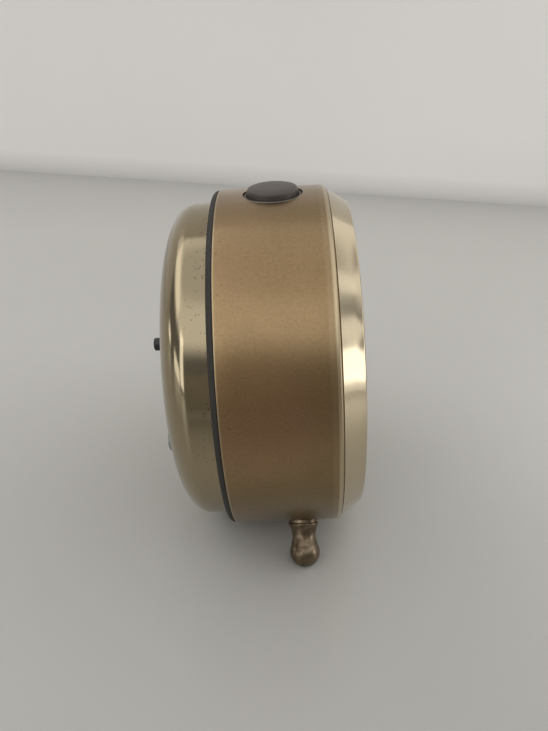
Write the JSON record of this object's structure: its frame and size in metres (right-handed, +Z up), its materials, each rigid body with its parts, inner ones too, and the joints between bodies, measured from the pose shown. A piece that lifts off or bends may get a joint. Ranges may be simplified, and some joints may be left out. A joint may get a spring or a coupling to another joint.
{
  "type": "wind-up minute timer",
  "caption": "Wind-up kitchen timer in a round brass case: glazed dial, minute hand, bell movement, stop button on top, rear winding knob, two ball feet.",
  "frame": {"origin": "centre of the bounding box at its base, on the ground plane that the drum rear edge and the two feet stand on", "axes": "+Z up, -Y out of the front of the leaning dial, +X to the right seen from the front"},
  "size_m": [0.076, 0.0488, 0.0785],
  "materials": {
    "drum_brass": "satin",
    "polished_brass": "polished",
    "dark_brass": "tarnished",
    "movement_brass": "satin",
    "steel": "turned",
    "spring_steel": "blued",
    "rubber": "satin",
    "button_plastic": "satin",
    "black_plastic": "satin",
    "cream_paint": "matt",
    "black_paint": "satin",
    "glass": "clear"
  },
  "bodies": {
    "case": {"case_drum": "drum_brass", "back_gasket": "rubber", "back_cover": "polished_brass", "bezel": "polished_brass", "front_glass": "glass", "glass_gasket": "rubber", "rehaut_ring": "cream_paint", "dial": "cream_paint", "mounting_ring": "steel", "movement_screw_1": "steel", "movement_screw_2": "steel", "movement_screw_3": "steel", "foot_left": "dark_brass", "foot_nut_left": "steel", "cover_post_left": "steel", "cover_screw_left": "steel", "foot_right": "dark_brass", "foot_nut_right": "steel", "cover_post_right": "steel", "cover_screw_right": "steel", "button_guide": "steel", "button_spring": "spring_steel", "back_plate": "movement_brass", "front_plate": "movement_brass", "pillar_1": "steel", "pillar_2": "steel", "pillar_3": "steel", "pillar_4": "steel", "mainspring": "spring_steel", "hairspring": "spring_steel", "gong": "steel", "gong_post": "steel", "gong_screw": "steel", "hammer_spring": "spring_steel"},
    "winding": {"winding_knob": "black_plastic", "winding_arbor": "steel", "great_wheel": "movement_brass", "ratchet_wheel": "steel", "click": "steel", "setting_pinion": "steel"},
    "hand": {"hand_arbor": "steel", "hand_wheel": "movement_brass", "pointer_hand": "black_paint", "trip_cam": "movement_brass"},
    "second": {"second_arbor": "steel", "second_wheel": "movement_brass"},
    "third": {"third_arbor": "steel", "third_wheel": "movement_brass"},
    "escape": {"escape_arbor": "steel", "escape_wheel": "movement_brass"},
    "pallet": {"pallet_lever": "steel"},
    "balance": {"balance_staff": "steel", "balance_wheel": "movement_brass"},
    "regulator": {"regulator_lever": "steel", "regulator_tip": "black_plastic"},
    "trip": {"trip_lever": "steel"},
    "hammer": {"bell_hammer": "steel"},
    "button": {"stop_button": "button_plastic", "button_clip": "spring_steel"},
    "stop": {"stop_lever": "steel"}
  },
  "joints": [
    {"name": "winding_turn", "type": "hinge", "parent": "case", "child": "winding", "pos_m": [0, 0.00484, 0.02489], "axis": [0, -0.9957, 0.0931], "range_deg": [0, 742.5]},
    {"name": "hand_turn", "type": "hinge", "parent": "case", "child": "hand", "pos_m": [0, 0.00605, 0.03784], "axis": [0, -0.9957, 0.0931], "range_deg": [-330.5, 0.5]},
    {"name": "second_turn", "type": "hinge", "parent": "case", "child": "second", "pos_m": [-0.01137, 0.00545, 0.03143], "axis": [0, -0.9957, 0.0931], "range_deg": [-2970.5, 0.5]},
    {"name": "third_turn", "type": "hinge", "parent": "case", "child": "third", "pos_m": [-0.011, 0.00642, 0.04187], "axis": [0, -0.9957, 0.0931], "range_deg": [-0.5, 11880.5]},
    {"name": "escape_turn", "type": "hinge", "parent": "case", "child": "escape", "pos_m": [-0.00522, 0.00707, 0.04874], "axis": [0, -0.9957, 0.0931], "range_deg": [-47520.5, 0.5]},
    {"name": "balance_swing", "type": "hinge", "parent": "case", "child": "balance", "pos_m": [0.009, 0.00686, 0.0465], "axis": [0, -0.9957, 0.0931], "range_deg": [-120, 120], "stiffness_Nm_per_rad": 0.0001},
    {"name": "pallet_rock", "type": "hinge", "parent": "case", "child": "pallet", "pos_m": [0.0018, 0.00725, 0.05068], "axis": [0, -0.9957, 0.0931], "range_deg": [-6.2, 6.2]},
    {"name": "regulator_shift", "type": "hinge", "parent": "case", "child": "regulator", "pos_m": [0.009, 0.00686, 0.0465], "axis": [0, -0.9957, 0.0931], "range_deg": [-14, 14]},
    {"name": "trip_drop", "type": "hinge", "parent": "case", "child": "trip", "pos_m": [0.015, 0.00567, 0.03385], "axis": [0, 0.9957, -0.0931], "range_deg": [-3.4, 0]},
    {"name": "hammer_swing", "type": "hinge", "parent": "case", "child": "hammer", "pos_m": [-0.008, 0.00772, 0.05576], "axis": [0, -0.9957, 0.0931], "range_deg": [-1.2, 8], "stiffness_Nm_per_rad": 0.02, "springref_deg": -1.15},
    {"name": "button_press", "type": "slide", "parent": "case", "child": "button", "axis": [0, -0.0931, -0.9957], "range_m": [0, 0.0012], "stiffness_N_per_m": 900, "springref_m": -0.0006, "deforming": ["button_spring"]},
    {"name": "stop_lever_rock", "type": "hinge", "parent": "case", "child": "stop", "pos_m": [0.012, 0.00795, 0.05825], "axis": [0, -0.9957, 0.0931], "range_deg": [-0.2, 6.2]}
  ],
  "couplings": [
    {"joint": "hand_turn", "follows": "winding_turn", "ratio": -0.44444},
    {"joint": "second_turn", "follows": "winding_turn", "ratio": -4},
    {"joint": "third_turn", "follows": "winding_turn", "ratio": 16},
    {"joint": "escape_turn", "follows": "winding_turn", "ratio": -64},
    {"joint": "pallet_rock", "follows": "balance_swing", "ratio": 0.05},
    {"joint": "stop_lever_rock", "follows": "button_press", "rad_per_m": 83.333}
  ]
}
